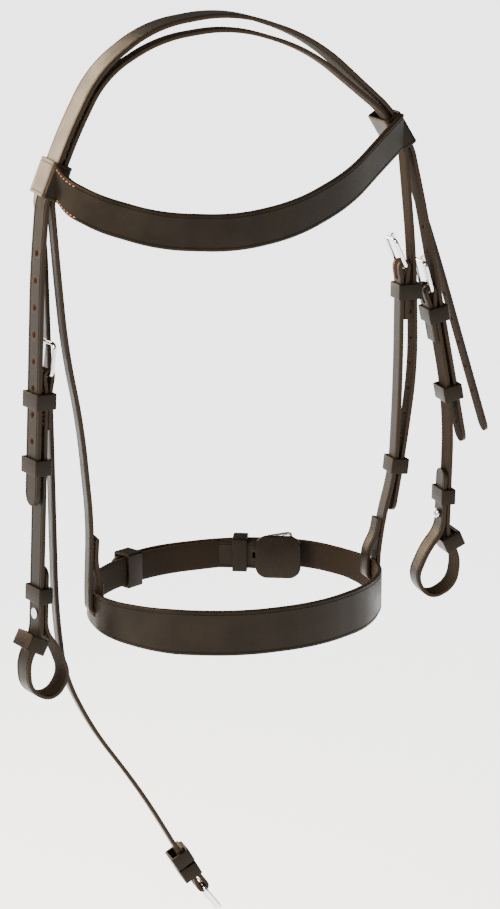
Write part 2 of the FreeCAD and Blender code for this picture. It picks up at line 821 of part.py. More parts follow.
def throat_end():
    """The frame at the throatlatch's buckle."""
    route = throat_route()
    bar = Vector(route[-1][0], THROAT_Y, route[-1][1])
    before = Vector(route[-2][0], THROAT_Y, route[-2][1])
    along = (bar - before).normalize()
    out = Vector(along.z, 0, -along.x)
    return Placement(bar, Rotation(out, Vector(0, 1, 0), along, "XYZ")), along, out


def throatlatch():
    thickness = size("strap_thickness")
    body = new_body("throatlatch_strap")
    place, along, out = throat_end()
    end = place.Base - along * 6
    route = throat_route()[:-1] + [(end.x - out.x * 1.5, end.z - out.z * 1.5)]
    strap(body, route, thickness, "Sizes.throat_width", THROAT_Y, "XZ_Plane", True)
    turn = Rotation(Vector(0, 0, 1), math.degrees(math.atan2(out.z, out.x)))
    in_plane = Placement(Vector(place.Base.x, place.Base.z, -THROAT_Y), turn)
    add_chape(body, thickness, "Sizes.throat_width", "XZ_Plane", in_plane)
    lean = leaning(6)
    buckle_frame("throatlatch_buckle_frame", "throat_width", place.multiply(lean))
    buckle_tongue("throatlatch_buckle_tongue", place.multiply(lean))
    keeper("throatlatch_fixed_keeper", -thickness, thickness + 4, "throat_width",
           "Sizes.keeper_width", place.multiply(Placement(Vector(0, 0, -17), Rotation())), 0.0)
    keeper("throatlatch_sliding_keeper", -thickness, thickness + 4, "throat_width",
           "Sizes.keeper_width", place.multiply(Placement(Vector(0, 0, -29.5), Rotation())))


def near_throatlatch_billet():
    """The short split end on the near side that the throatlatch buckles to."""
    thickness = size("strap_thickness")
    body = new_body("near_throatlatch_billet")
    top = scaled_crown()[-1]
    route = [(top[0], top[1]), (top[0] + 27, top[1] - 75), (top[0] + 49, top[1] - 144),
             (top[0] + 72, top[1] - 216)]
    strap(body, route, thickness, "Sizes.throat_width", THROAT_Y, "XZ_Plane", True)
    pitch = size("billet_hole_pitch")
    round_holes(body, [(THROAT_Y, top[1] - 110 - pitch * n) for n in range(5)],
                size("billet_hole_diameter"))
    rounded_tip(body, (route[-1][0], THROAT_Y, route[-1][1]), size("throat_width"))


# ---- noseband: one strap round the nose, whose near end laps outside its off end at the back

RING_STEP = 30


def ring_point(angle, outward=0.0, corner=False):
    """A point of the ring in plan; a corner is where the tangents at the steps beside it meet."""
    centre = noseband_centre()
    a = math.radians(angle)
    stretch = 1 / math.cos(math.radians(RING_STEP / 2)) if corner else 1.0
    return (centre.x + stretch * (size("noseband_half_width") + outward) * math.cos(a),
            centre.y + stretch * (size("noseband_half_depth") + outward) * math.sin(a))


def ring_frame(angle, outward=0.0):
    """A frame on the ring's outside: +X outward, +Y up, +Z along the ring to the near side."""
    before = Vector(*ring_point(angle + RING_STEP / 2, outward, True), 0)
    after = Vector(*ring_point(angle - RING_STEP / 2, outward, True), 0)
    along = (after - before).normalize()
    out = Vector(-along.y, along.x, 0)
    x, y = ring_point(angle, outward)
    base = Vector(x, y, noseband_centre().z)
    return Placement(base, Rotation(out, Vector(0, 0, 1), along, "XYZ"))


def lap():
    """How far the near end's middle lies outside the off end's middle."""
    return chape_radius(size("band_thickness")) + size("running_gap")


def noseband_route():
    first = Vector(*ring_point(135, lap(), True), 0)
    second = Vector(*ring_point(105, lap(), True), 0)
    tip = first + (second - first) * 0.22
    outward = {75: lap(), 45: lap()}
    route = [(tip.x, tip.y), (second.x, second.y)]
    route += [ring_point(angle, outward.get(angle, 0.0), True) for angle in range(75, -286, -RING_STEP)]
    end = ring_frame(60).multVec(Vector(0, 0, -6))
    return route + [(end.x, end.y)]


def noseband():
    thickness = size("band_thickness")
    body = new_body("noseband_strap")
    level = noseband_centre().z
    outline = new_sketch(body, "XY_Plane", strap_outline(noseband_route(), thickness), level)
    pad(body, outline, "Sizes.noseband_front_width")
    buckle = ring_frame(60).multiply(Placement(Vector(-thickness / 2, 0, 0), Rotation()))
    out = buckle.Rotation.multVec(Vector(1, 0, 0))
    along = buckle.Rotation.multVec(Vector(0, 0, 1))
    in_plane = Placement(buckle.Base, Rotation(out, along, Vector(0, 0, -1), "XYZ"))
    add_chape(body, thickness, "Sizes.noseband_rear_width", "XY_Plane", in_plane)
    front = size("noseband_front_width") / 2
    rear = size("noseband_rear_width") / 2
    centre_y = noseband_centre().y
    for sign in (1, -1):
        taper = [(centre_y - 66, sign * front), (centre_y + 33, sign * rear),
                 (centre_y + 200, sign * rear), (centre_y + 200, sign * 60),
                 (centre_y - 66, sign * 60)]
        trim = new_sketch(body, "YZ_Plane", polygon(taper))
        trim.AttachmentOffset = Placement(Vector(0, level, 0), Rotation())
        pocket(body, trim)
    half = size("sliphead_width") / 2 + size("slot_gap")
    tall = size("strap_thickness") / 2 + 2 * size("slot_gap")
    turn = level - STRAP_TURN
    slot = rectangle(centre_y - half, turn - tall, centre_y + half, turn + tall)
    pocket(body, new_sketch(body, "YZ_Plane", slot))
    hole_for_tongue(body, buckle)
    return buckle


def hole_for_tongue(body, buckle):
    """The oblong hole in the near end that the noseband's tongue passes through."""
    layer = lap() + size("band_thickness") / 2
    half = size("billet_hole_diameter") / 2
    cut = body.newObject("Sketcher::SketchObject", "noseband_tongue_hole")
    cut.AttachmentSupport = [(origin_plane(body, "XY_Plane"), "")]
    cut.MapMode = "FlatFace"
    out = buckle.Rotation.multVec(Vector(1, 0, 0))
    along = buckle.Rotation.multVec(Vector(0, 0, 1))
    base = buckle.Base + out * layer
    cut.AttachmentOffset = Placement(base, Rotation(out, along, Vector(0, 0, -1), "XYZ"))
    for edge in rectangle(-size("band_thickness") / 2 - 0.5, 1.8, size("band_thickness") / 2 + 0.5, 14.5):
        cut.addGeometry(edge, False)
    hole = body.newObject("PartDesign::Pocket", "noseband_tongue_hole_cut")
    hole.Profile = cut
    hole.SideType = "Symmetric"
    hole.Length = 2 * half
    doc.recompute()


def noseband_hardware(buckle):
    thickness = size("band_thickness")
    lean = leaning(-31)
    buckle_frame("noseband_buckle_frame", "noseband_rear_width", buckle.multiply(lean))
    buckle_tongue("noseband_buckle_tongue", buckle.multiply(lean))
    head = chape_radius(thickness)
    body = new_body("noseband_safe_pad")
    half = size("safe_pad_height") / 2
    length = size("safe_pad_length")
    low = 10 - length / 2
    corner = 9.0
    path = [(-half, low), (half, low), (half, low + length), (-half, low + length)]
    outline = rounded_polygon(path, corner)
    pad(body, new_sketch(body, "YZ_Plane", outline, -head - size("strap_thickness") / 2),
        "Sizes.strap_thickness")
    body.Placement = buckle
    outer = lap() + thickness * 1.5
    keeper("noseband_fixed_keeper", -thickness, lap() + thickness, "noseband_rear_width",
           "Sizes.keeper_width", buckle.multiply(Placement(Vector(0, 0, -19), Rotation())), 0.0)
    slid = ring_frame(120).multiply(Placement(Vector(-thickness / 2, 0, 0), Rotation()))
    keeper("noseband_sliding_keeper", 0, outer, "noseband_rear_width",
           "Sizes.wide_keeper_width", slid, 0.7)


def rounded_polygon(corners, radius):
    """A closed convex outline, turning to the left, whose corners are arcs of one radius."""
    points = [Vector(x, y, 0) for x, y in corners]
    count = len(points)
    edges = []
    last = None
    first = None
    for n in range(count):
        corner = points[n]
        arriving = (corner - points[n - 1]).normalize()
        leaving = (points[(n + 1) % count] - corner).normalize()
        reach = radius * math.tan(arriving.getAngle(leaving) / 2)
        a = corner - arriving * reach
        b = corner + leaving * reach
        centre = a + Vector(-arriving.y, arriving.x, 0) * radius
        if last is not None:
            edges.append(Part.LineSegment(last, a))
        else:
            first = a
        edges.append(arc_edge(centre, radius, a, b, 1))
        last = b
    edges.append(Part.LineSegment(last, first))
    return edges


def finish():
    """Stops on any object that failed, then writes each piece to its own file."""
    doc.recompute()
    for item in doc.Objects:
        if "Invalid" in item.State or "Error" in item.State:
            raise ValueError(f"{item.Name} failed: {item.State}")
    os.makedirs("parts", exist_ok=True)
    for body in NODES:
        shape = body.Shape
        if shape.isNull() or not shape.isValid():
            raise ValueError(f"{body.Label} has no valid shape")
        shape.exportStep(f"parts/{body.Label}.step")
        box = shape.BoundBox
        print(f"{body.Label}: {len(shape.Solids)} solid, {shape.Volume:.0f} mm3,"
              f" x {box.XMin:.1f}..{box.XMax:.1f} y {box.YMin:.1f}..{box.YMax:.1f}"
              f" z {box.ZMin:.1f}..{box.ZMax:.1f}")


crownpiece()
sliphead_strap()
near_hanger()
cheekpiece("off")
cheekpiece("near")
browband(browband_loops())
browband_button(browband_loops())
throatlatch()
near_throatlatch_billet()
noseband_hardware(noseband())
finish()
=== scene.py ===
import json
import math

import bmesh
import bpy
from mathutils import Matrix, Vector


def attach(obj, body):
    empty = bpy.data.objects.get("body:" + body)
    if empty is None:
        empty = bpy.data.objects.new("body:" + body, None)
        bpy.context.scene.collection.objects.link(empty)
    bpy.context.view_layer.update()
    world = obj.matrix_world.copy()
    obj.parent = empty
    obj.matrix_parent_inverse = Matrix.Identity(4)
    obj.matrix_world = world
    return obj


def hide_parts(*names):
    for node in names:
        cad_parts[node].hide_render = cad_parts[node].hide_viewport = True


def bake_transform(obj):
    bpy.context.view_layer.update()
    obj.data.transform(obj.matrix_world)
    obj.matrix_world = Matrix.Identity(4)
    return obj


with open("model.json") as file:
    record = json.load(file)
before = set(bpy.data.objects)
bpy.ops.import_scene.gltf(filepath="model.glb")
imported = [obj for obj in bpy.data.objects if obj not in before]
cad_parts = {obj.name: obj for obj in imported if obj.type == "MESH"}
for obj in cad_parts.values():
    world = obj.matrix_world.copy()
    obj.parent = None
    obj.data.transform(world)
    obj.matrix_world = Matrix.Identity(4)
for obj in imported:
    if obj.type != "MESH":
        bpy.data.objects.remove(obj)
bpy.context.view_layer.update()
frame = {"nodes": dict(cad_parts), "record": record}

# Crownpiece: the broad strap over the poll, of smooth, almost black bridle leather.
# It is cut from one hide, creased along both edges, and its ends go into the browband's loops.


def noise(tree, coordinates, scale, detail=3.0):
    """A soft random value; scale is in blotches per metre."""
    node = tree.nodes.new("ShaderNodeTexNoise")
    node.inputs["Scale"].default_value = scale
    node.inputs["Detail"].default_value = detail
    tree.links.new(coordinates, node.inputs["Vector"])
    return node.outputs["Fac"]


def span(tree, value, low, high, to_low, to_high):
    """The value moved from one range to another, and held at its ends."""
    node = tree.nodes.new("ShaderNodeMapRange")
    for socket, number in zip(node.inputs[1:5], (low, high, to_low, to_high)):
        socket.default_value = number
    tree.links.new(value, node.inputs[0])
    return node.outputs[0]


def mixed(tree, share, first, second):
    """A colour between two others, each a tuple or a socket."""
    node = tree.nodes.new("ShaderNodeMix")
    node.data_type = "RGBA"
    tree.links.new(share, node.inputs[0])
    for socket, colour in ((node.inputs[6], first), (node.inputs[7], second)):
        if isinstance(colour, tuple):
            socket.default_value = (*colour, 1.0)
        else:
            tree.links.new(colour, socket)
    return node.outputs[2]


def leather_group():
    """Colour, roughness and normal of dyed leather; Side is 1 on the grain and 0 on the flesh."""
    tree = bpy.data.node_groups.new("leather_finish", "ShaderNodeTree")
    face = tree.interface
    face.new_socket("Side", in_out="INPUT", socket_type="NodeSocketFloat")
    for label in ("Dark", "Light", "Edge", "Flesh"):
        face.new_socket(label, in_out="INPUT", socket_type="NodeSocketColor")
    face.new_socket("Colour", in_out="OUTPUT", socket_type="NodeSocketColor")
    face.new_socket("Roughness", in_out="OUTPUT", socket_type="NodeSocketFloat")
    face.new_socket("Normal", in_out="OUTPUT", socket_type="NodeSocketVector")
    given = tree.nodes.new("NodeGroupInput")
    result = tree.nodes.new("NodeGroupOutput")
    place = tree.nodes.new("ShaderNodeTexCoord").outputs["Object"]
    blotch = noise(tree, place, 55.0)
    streak = noise(tree, place, 420.0)
    fibre = noise(tree, place, 2600.0)
    pores = tree.nodes.new("ShaderNodeTexVoronoi")
    pores.inputs["Scale"].default_value = 1150.0
    tree.links.new(place, pores.inputs["Vector"])
    patches = span(tree, blotch, 0.35, 0.68, 0.0, 1.0)
    dyed = mixed(tree, patches, given.outputs["Dark"], given.outputs["Light"])
    scuffs = span(tree, streak, 0.60, 0.82, 0.0, 0.35)
    rubbed = mixed(tree, scuffs, dyed, given.outputs["Light"])
    raw = span(tree, given.outputs["Side"], 0.0, 0.42, 1.0, 0.0)
    grain = span(tree, given.outputs["Side"], 0.55, 0.95, 0.0, 1.0)
    cut = mixed(tree, grain, given.outputs["Edge"], rubbed)
    colour = mixed(tree, raw, cut, given.outputs["Flesh"])
    tree.links.new(colour, result.inputs["Colour"])
    polish = span(tree, blotch, 0.3, 0.7, 0.33, 0.45)
    rough = tree.nodes.new("ShaderNodeMix")
    tree.links.new(raw, rough.inputs[0])
    tree.links.new(polish, rough.inputs[2])
    rough.inputs[3].default_value = 0.9
    tree.links.new(rough.outputs[0], result.inputs["Roughness"])
    height = tree.nodes.new("ShaderNodeMath")
    height.operation = "MULTIPLY_ADD"
    height.inputs[1].default_value = 0.55
    tree.links.new(fibre, height.inputs[0])
    tree.links.new(pores.outputs["Distance"], height.inputs[2])
    bump = tree.nodes.new("ShaderNodeBump")
    bump.inputs["Strength"].default_value = 0.22
    bump.inputs["Distance"].default_value = 0.00025
    tree.links.new(height.outputs[0], bump.inputs["Height"])
    tree.links.new(bump.outputs["Normal"], result.inputs["Normal"])
    return tree


def leather(name, dark, light, edge, flesh):
    """Leather dyed between two colours, with its own colours on cut edges and on the flesh side."""
    material = bpy.data.materials.new(name)
    material.use_nodes = True
    tree = material.node_tree
    shader = tree.nodes["Principled BSDF"]
    finish = tree.nodes.new("ShaderNodeGroup")
    finish.node_tree = finish_group
    side = tree.nodes.new("ShaderNodeAttribute")
    side.attribute_name = "grain"
    tree.links.new(side.outputs["Fac"], finish.inputs["Side"])
    for label, colour in (("Dark", dark), ("Light", light), ("Edge", edge), ("Flesh", flesh)):
        finish.inputs[label].default_value = (*colour, 1.0)
    tree.links.new(finish.outputs["Colour"], shader.inputs["Base Color"])
    tree.links.new(finish.outputs["Roughness"], shader.inputs["Roughness"])
    tree.links.new(finish.outputs["Normal"], shader.inputs["Normal"])
    shader.inputs["Specular IOR Level"].default_value = 0.10
    shader.inputs["Specular Tint"].default_value = (1.0, 0.86, 0.68, 1.0)
    return material


finish_group = leather_group()
strap_leather = leather(
    "strap_leather",
    dark=(0.0068, 0.0054, 0.0042), light=(0.0110, 0.0086, 0.0064),
    edge=(0.019, 0.012, 0.0075), flesh=(0.0125, 0.0088, 0.0064),
)
raw_leather = leather(
    "raw_leather",
    dark=(0.085, 0.036, 0.02), light=(0.12, 0.05, 0.028),
    edge=(0.09, 0.04, 0.022), flesh=(0.10, 0.045, 0.025),
)


def millimetres(point):
    """A point given in millimetres, in the frame's metres."""
    return Vector(point) / 1000.0


def pivot(name):
    """The point that a joint turns about, in millimetres."""
    joints = frame["record"]["behaviour"]["joints"]
    return next(Vector(joint["pos_m"]) * 1000.0 for joint in joints if joint["name"] == name)


def flat(points, y):
    """Points given as (x, z) in the upright plane at y, in millimetres."""
    return [(x, y, z) for x, z in points]


def rounded(corners, share=0.45, step=2.2):
    """Points along straight runs that are joined by round bends."""
    corners = [Vector(corner) for corner in corners]
    points = [corners[0]]
    for before, corner, after in zip(corners, corners[1:], corners[2:]):
        arriving = corner - before
        leaving = after - corner
        turn = arriving.angle(leaving)
        if turn < 0.005:
            points.append(corner)
            continue
        reach = share * min(arriving.length, leaving.length)
        start = corner - arriving.normalized() * reach
        radius = reach / math.tan(turn / 2)
        axis = arriving.cross(leaving).normalized()
        centre = start + axis.cross(arriving).normalized() * radius
        steps = max(3, math.ceil(radius * turn / step))
        for number in range(steps + 1):
            spin = Matrix.Rotation(turn * number / steps, 3, axis)
            points.append(centre + spin @ (start - centre))
    return points + [corners[-1]]


def stations(points, tips, longest=4.0, closest=0.08):
    """(distance, point, tangent) along the points, close together where an end is rounded."""
    reached = [0.0]
    for a, b in zip(points, points[1:]):
        reached.append(reached[-1] + (b - a).length)
    total = reached[-1]
    wanted = list(reached)
    for a, b in zip(reached, reached[1:]):
        parts = math.ceil((b - a) / longest)
        wanted += [a + (b - a) * number / parts for number in range(1, parts)]
    for share in (0.01, 0.05, 0.12, 0.22, 0.35, 0.5, 0.7, 1.0):
        wanted += [tips[0] * share, total - tips[1] * share]
    wanted = sorted(value for value in wanted if 0.0 <= value <= total)
    kept = [wanted[0]]
    for value in wanted[1:]:
        if value - kept[-1] > closest:
            kept.append(value)
    found = []
    index = 0
    for value in kept:
        while index < len(points) - 2 and value > reached[index + 1]:
            index += 1
        length = reached[index + 1] - reached[index]
        share = (value - reached[index]) / length
        found.append((value, points[index].lerp(points[index + 1], share)))
    rows = []
    for number, (value, point) in enumerate(found):
        before = found[max(number - 1, 0)][1]
        after = found[min(number + 1, len(found) - 1)][1]
        rows.append((value, point, (after - before).normalized()))
    return rows


def section(width, thickness, crease, back):
    """The strap's outline as (across, outward, grain), with round edges and a line pressed beside them."""
    half = width / 2
    face = thickness / 2
    bevel = min(0.75, thickness * 0.3)
    outline = [
        (0.0, -face, back),
        (half * 0.6, -face, back),
        (half - bevel, -face, back),
        (half - 0.3 * bevel, 0.3 * bevel - face, 0.5),
        (half, bevel - face, 0.5),
        (half, face - bevel, 0.5),
        (half - 0.3 * bevel, face - 0.3 * bevel, 0.8),
        (half - bevel, face, 1.0),
    ]
    line = half - crease
    groove = face - 0.34
    outline += [
        (line + 0.5, face, 1.0),
        (line + 0.18, groove, 1.0),
        (line - 0.18, groove, 1.0),
        (line - 0.5, face, 1.0),
        (half * 0.45, face, 1.0),
        (0.0, face, 1.0),
    ]
    mirrored = [(-u, v, grain) for u, v, grain in outline[-2:0:-1]]
    return outline + mirrored


def finished(mesh, name, angle=0.62):
    """An object with smooth shading that breaks at edges sharper than the angle."""
    mesh.polygons.foreach_set("use_smooth", [True] * len(mesh.polygons))
    mesh.set_sharp_from_angle(angle=angle)
    piece = bpy.data.objects.new(name, mesh)
    bpy.context.scene.collection.objects.link(piece)
    return piece


def rounded_end(distance, radius):
    """How much of its width a strap has at this distance from a round tip."""
    if radius <= 0.0 or distance >= radius:
        return 1.0
    return max(0.14, math.sqrt(1.0 - (1.0 - max(distance, 0.0) / radius) ** 2))


def strap(
    name, corners, width, thickness, across, tips=(0, 0), crease=2.3, back=0.0, share=0.45, upright=False
):
    """A flat strap swept along a route, and its frames.

    width is a number or a function of the point, across is the direction of the strap's width,
    tips are the radii of its two ends, and back is 0 where the flesh side is left raw.
    """
    rows = stations(rounded(corners, share), tips)
    total = rows[-1][0]
    shape = bmesh.new()
    layer = shape.verts.layers.float.new("grain")
    rings = []
    frames = []
    for distance, point, tangent in rows:
        side = Vector(across).normalized()
        outward = tangent.cross(side).normalized()
        if not upright:
            side = outward.cross(tangent).normalized()
        full = width(point) if callable(width) else width
        scale = rounded_end(distance, tips[0]) * rounded_end(total - distance, tips[1])
        ring = []
        for u, v, grain in section(full, thickness, crease, back):
            vertex = shape.verts.new(millimetres(point + side * (u * scale) + outward * v))
            vertex[layer] = grain
            ring.append(vertex)
        rings.append(ring)
        frames.append((distance, point, tangent, side, outward, full, thickness))
    for a, b in zip(rings, rings[1:]):
        for number in range(len(a)):
            following = (number + 1) % len(a)
            shape.faces.new((a[number], a[following], b[following], b[number]))
    shape.faces.new(rings[0])
    shape.faces.new(rings[-1])
    bmesh.ops.recalc_face_normals(shape, faces=shape.faces)
    if shape.calc_volume(signed=True) < 0:
        bmesh.ops.reverse_faces(shape, faces=shape.faces)
    mesh = bpy.data.meshes.new(name)
    shape.to_mesh(mesh)
    shape.free()
    mesh.materials.append(strap_leather)
    mesh.materials.append(raw_leather)
    piece = finished(mesh, name)
    return piece, frames


strap_thickness = 3.0
off_hinge = pivot("off_cheek_swing")
near_hinge = pivot("near_cheek_swing")
inside_loop = 13
above_off_hinge = (off_hinge.x + inside_loop * 0.382, off_hinge.z + inside_loop * 0.924)
above_near_hinge = (near_hinge.x - inside_loop * 0.528, near_hinge.z + inside_loop * 0.849)
crown_route = [(-114, -65), (-93, -25), (-54, 3), (2, 11), (61, -9), (117, -59)]
crown, _ = strap(
    "crown_leather",
    flat([above_off_hinge] + crown_route + [above_near_hinge], 0.0),
    28.5, strap_thickness, (0, 1, 0), crease=2.6,
)
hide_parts("crownpiece")
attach(crown, "headpiece")

# Sliphead: a narrow strap of the same leather that carries the noseband.
# Its off end is turned through the noseband and sewn, and its near end is a punched billet.


def cutter_mesh(tools):
    """One mesh of all the punches: (centre, three axes, three sizes, round or not)."""
    shape = bmesh.new()
    for centre, axes, sizes, round_tool in tools:
        matrix = Matrix([axis.normalized() * length for axis, length in zip(axes, sizes)]).transposed()
        place = Matrix.Translation(millimetres(centre)) @ (matrix * 0.001).to_4x4()
        if round_tool:
            bmesh.ops.create_cone(
                shape, cap_ends=True, segments=28, radius1=0.5, radius2=0.5, depth=1.0, matrix=place
            )
        else:
            bmesh.ops.create_cube(shape, size=1.0, matrix=place)
    for face in shape.faces:
        face.material_index = 1
    mesh = bpy.data.meshes.new("punch")
    shape.to_mesh(mesh)
    shape.free()
    return mesh


def punched(piece, tools):
    """Cut holes and slots in a strap; their walls are raw leather."""
    mesh = cutter_mesh(tools)
    mesh.materials.append(strap_leather)
    mesh.materials.append(raw_leather)
    punch = bpy.data.objects.new("punch", mesh)
    bpy.context.scene.collection.objects.link(punch)
    modifier = piece.modifiers.new("cut", "BOOLEAN")
    modifier.operation = "DIFFERENCE"
    modifier.solver = "MANIFOLD"
    modifier.object = punch
    graph = bpy.context.evaluated_depsgraph_get()
    cut = bpy.data.meshes.new_from_object(piece.evaluated_get(graph))
    piece.modifiers.clear()
    piece.data = cut
    cut.set_sharp_from_angle(angle=0.62)
    bpy.data.objects.remove(punch)
    return piece


def hole(point, outward, side, diameter=4.0):
    """A round punch through a strap at this point."""
    outward = Vector(outward)
    side = Vector(side)
    return (Vector(point), (side, outward.cross(side), outward), (diameter, diameter, 9.0), True)


def holes_at_heights(frames, heights, first=0):
    """Punches down the middle of a strap where its route crosses these heights."""
    tools = []
    for height in heights:
        for a, b in zip(frames[first:], frames[first + 1:]):
            if a[1].z >= height > b[1].z:
                share = (a[1].z - height) / (a[1].z - b[1].z)
                tools.append(hole(a[1].lerp(b[1], share), a[4], a[3]))
                break
    return tools


sliphead_y = -8.0
sliphead_width = 12.5
narrow_crease = 1.9
hole_pitch = 18.5
off_tail = [(-100.5, -348), (-101.7, -366), (-98, -380), (-98, -401), (-106, -401), (-106, -384)]
over_poll = [
    (-104, -337.3), (-110, -266), (-120, -211.1), (-124.5, -156.2), (-127.6, -109.6), (-124.5, -102.2),
    (-110, -66.9), (-89.4, -28.1), (-50.5, -5.6), (1.1, 1), (56.8, -16.2), (113.2, -62.2), (125.1, -80.7),
    (129.4, -87.5), (138, -168), (140, -246), (132.5, -303), (124.5, -352),
]
sliphead, sliphead_frames = strap(
    "sliphead_leather", flat(off_tail + over_poll, sliphead_y), sliphead_width, strap_thickness,
    (0, 1, 0), tips=(0, 7), crease=narrow_crease,
)
near_half = len(sliphead_frames) // 2
sliphead_heights = [-150 - hole_pitch * number for number in range(10)]
punched(sliphead, holes_at_heights(sliphead_frames, sliphead_heights, near_half))
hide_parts("sliphead_strap")
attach(sliphead, "headpiece")

# Near hanger: the short strap on the near side that the sliphead's billet buckles to.
# Its top is folded round the buckle's bar and sewn, and its foot goes through the noseband.


def fold(thickness, length=38.0):
    """Local (x, z) corners of a strap folded back round a buckle's bar, from the tail up and over."""
    eye = 1.7
    between_layers = 0.16
    radius = eye + thickness / 2
    half = (thickness + between_layers) / 2
    neck = (0.94 * radius, -3.4)
    meeting = (half, -11.5)
    corners = [(-half, -length), (-half, meeting[1]), (-neck[0], neck[1])]
    for degrees in range(180, -1, -30):
        angle = math.radians(degrees)
        corners.append((radius * math.cos(angle), radius * math.sin(angle)))
    return corners + [neck, meeting]


def placed(base, out, along, points):
    """World points of local (x, z) ones."""
    base = Vector(base)
    return [base + Vector(out) * x + Vector(along) * z for x, z in points]


def tongue_slot(base, out, along, side):
    """The slot in a fold that lets the buckle's tongue through."""
    centre = Vector(base) + Vector(along) * -1.6 + Vector(out) * -0.5
    return (centre, (Vector(out), Vector(side), Vector(along)), (11.0, 4.5, 15.6), False)


up = (0, 0, 1)
hanger_bar = pivot("near_hanger_buckle_turn")
hanger_path = [
    (-1.5, -80.6), (-4, -148.4), (-13.5, -186), (-17, -212), (-17, -229), (-25, -229), (-25, -208),
    (-18.3, -196), (-16.5, -185),
]
hanger_corners = [(-x, z) for x, z in fold(strap_thickness)]
near_hanger, hanger_frames = strap(
    "near_hanger_leather", placed(hanger_bar, (1, 0, 0), up, hanger_corners + hanger_path),
    sliphead_width, strap_thickness, (0, 1, 0), crease=narrow_crease, back=1.0,
)
punched(near_hanger, [tongue_slot(hanger_bar, (1, 0, 0), up, (0, 1, 0))])
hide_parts("near_hanger_strap")
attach(near_hanger, "headpiece")

# Cheekpieces: on each side a billet from the crown, and a strap that ends in the bit's hook fastening.
# The strap's top is folded round a buckle and its foot is turned up, where a stud holds it.


def turned(z_degrees, y_degrees):
    """A cheekpiece's toe-in about the upright, after its lean to the side."""
    toe_in = Matrix.Rotation(math.radians(z_degrees), 3, "Z")
    lean = Matrix.Rotation(math.radians(y_degrees), 3, "Y")
    return toe_in @ lean


cheek_width = 16.0
cheek_crease = 2.2
billet_layer = 6.6
holes_in_billet = 9
cheeks = {
    "off": {
        "turn": turned(194.0, -2.8),
        "hinge": off_hinge,
        "above": (above_off_hinge[0], off_hinge.y, above_off_hinge[1]),
        "tip": -92.0,
        "first_hole": 5,
        "path": [
            (1.5, -186), (11.5, -203), (9, -225), (-10, -234), (-22.5, -218), (-13, -196), (-2, -182),
            (-2, -136),
        ],
    },
    "near": {
        "turn": turned(-2.0, -11.4),
        "hinge": near_hinge,
        "above": (above_near_hinge[0], near_hinge.y, above_near_hinge[1]),
        "tip": -118.0,
        "first_hole": 3,
        "path": [
            (1.5, -90), (-19.3, -183.7), (-13.2, -202.5), (-20.4, -223.4), (-40.9, -228.1), (-49.6, -209.8),
            (-35.6, -190.3), (-21.8, -179.1), (-11.8, -134.2),
        ],
    },
}
cheek_frames = {}
for side_name, cheek in cheeks.items():
    turn = cheek["turn"]
    out = turn @ Vector((1, 0, 0))
    along = turn @ Vector((0, 0, 1))
    sideways = turn @ Vector((0, 1, 0))
    base = pivot(f"{side_name}_cheek_buckle_turn")
    hinge_point = cheek["hinge"]
    bend_height = 0.62 * (hinge_point - base).dot(along) - 2
    billet_route = placed(base, out, along, [(billet_layer, bend_height), (billet_layer, cheek["tip"])])
    above = Vector(cheek["above"])
    billet, _ = strap(
        f"{side_name}_cheek_billet_leather", [above, hinge_point] + billet_route,
        cheek_width, strap_thickness, sideways, tips=(0, 8), crease=cheek_crease,
    )
    holes = []
    for number in range(holes_in_billet):
        height = 9 + hole_pitch * (cheek["first_hole"] - 1 - number)
        holes.append(hole(base + out * billet_layer + along * height, out, sideways))
    punched(billet, holes)
    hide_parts(f"{side_name}_cheek_billet")
    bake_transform(billet)
    lower, lower_frames = strap(
        f"{side_name}_cheek_strap_leather",
        placed(base, out, along, fold(strap_thickness) + cheek["path"]),
        cheek_width, strap_thickness, sideways, tips=(0, 6), crease=cheek_crease,
    )
    punched(lower, [tongue_slot(base, out, along, sideways)])
    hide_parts(f"{side_name}_cheek_strap")
    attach(lower, f"{side_name}_cheek")
    cheek_frames[side_name] = lower_frames

# Browband: a plain flat band across the forehead, with a sewn loop at each end.
# The crownpiece and the sliphead pass through the loops, and a metal button closes the near one.


def band_height(x, y):
    """The band droops towards the forehead, and its off end hangs a little lower."""
    middle = pivot("browband_rock")
    end_y = -16.25  # the middle of the loops' front walls
    rise_to_near = math.tan(math.radians(4.92))
    droop = 38.0 / 55.0
    return middle.z + rise_to_near * (x - middle.x) + droop * (y - end_y)


band_plan = [
    (-124.8, -16.2), (-121.1, -28.4), (-104.8, -43.8), (-69.9, -63.5), (-20, -74), (24.9, -70.2),
    (69.7, -53.7), (104.7, -29.4), (124.6, -16.2),
]
band_width = 25.0
band_thickness = 3.5
band, band_frames = strap(
    "browband_leather", [(x, y, band_height(x, y)) for x, y in band_plan],
    band_width, band_thickness, up, crease=2.4, upright=True,
)
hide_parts("browband")
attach(band, "browband")
loop_half_width = 16.25
loop_half_depth = 5.725
loop_corners = [
    (-loop_half_depth, 0), (-loop_half_depth, loop_half_width), (loop_half_depth, loop_half_width),
    (loop_half_depth, -loop_half_width), (-loop_half_depth, -loop_half_width), (-loop_half_depth, -0.2),
]
loops = {"off": ((-124.8, 0, -96.97), 22.44), "near": ((124.62, 0, -75.49), -31.83)}
for loop_name, (centre, tilt) in loops.items():
    lean = math.radians(tilt)
    direction = Vector((math.sin(lean), 0, math.cos(lean)))
    sign = 1 if loop_name == "near" else -1
    out = Vector((math.cos(lean), 0, -math.sin(lean))) * sign
    loop, _ = strap(
        f"{loop_name}_browband_loop",
        [Vector(centre) + out * depth + Vector((0, 1, 0)) * width for depth, width in loop_corners],
        band_width, 2.1, direction * -sign, crease=2.4, share=0.2,
    )
    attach(loop, "browband")

